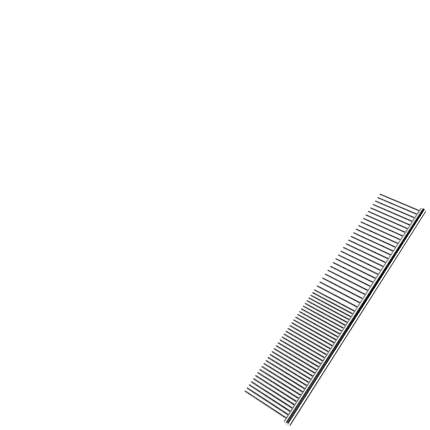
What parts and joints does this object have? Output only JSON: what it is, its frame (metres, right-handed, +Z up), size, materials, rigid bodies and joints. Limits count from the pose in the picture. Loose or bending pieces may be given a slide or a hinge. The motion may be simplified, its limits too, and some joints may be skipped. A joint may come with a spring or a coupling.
{
  "type": "two-pitch steel grooming comb",
  "caption": "Straight pet grooming comb: a round polished steel bar with one run of wide-set and one run of close-set round wire teeth standing out of one side.",
  "frame": {"origin": "on the table under the middle of the comb's outline, with the comb lying flat: the underside of the bar and the tips of the teeth both touch the table", "axes": "+X along the bar towards its coarse end, +Y from the bar towards the tooth tips, +Z up from the table; the teeth slope down from the bar to the table by 3.3 degrees"},
  "size_m": [0.1898, 0.0372, 0.005],
  "materials": {
    "bar_steel": "solid round steel bar, ground along its length, polished and bright plated, with faint lengthwise polishing lines",
    "tooth_wire": "hard-drawn steel wire, tumbled and bright plated, with faint die lines along its length and a polished domed tip"
  },
  "bodies": {
    "root": {"bar": "bar_steel", "coarse_tooth_01": "tooth_wire", "coarse_tooth_02": "tooth_wire", "coarse_tooth_03": "tooth_wire", "coarse_tooth_04": "tooth_wire", "coarse_tooth_05": "tooth_wire", "coarse_tooth_06": "tooth_wire", "coarse_tooth_07": "tooth_wire", "coarse_tooth_08": "tooth_wire", "coarse_tooth_09": "tooth_wire", "coarse_tooth_10": "tooth_wire", "coarse_tooth_11": "tooth_wire", "coarse_tooth_12": "tooth_wire", "coarse_tooth_13": "tooth_wire", "coarse_tooth_14": "tooth_wire", "coarse_tooth_15": "tooth_wire", "coarse_tooth_16": "tooth_wire", "coarse_tooth_17": "tooth_wire", "coarse_tooth_18": "tooth_wire", "coarse_tooth_19": "tooth_wire", "coarse_tooth_20": "tooth_wire", "coarse_tooth_21": "tooth_wire", "coarse_tooth_22": "tooth_wire", "coarse_tooth_23": "tooth_wire", "coarse_tooth_24": "tooth_wire", "coarse_tooth_25": "tooth_wire", "coarse_tooth_26": "tooth_wire", "coarse_tooth_27": "tooth_wire", "fine_teeth_01_to_05": "tooth_wire", "fine_teeth_06_to_10": "tooth_wire", "fine_teeth_11_to_15": "tooth_wire", "fine_teeth_16_to_20": "tooth_wire", "fine_teeth_21_to_25": "tooth_wire", "fine_teeth_26_to_30": "tooth_wire", "fine_teeth_31_to_35": "tooth_wire"}
  },
  "joints": []
}
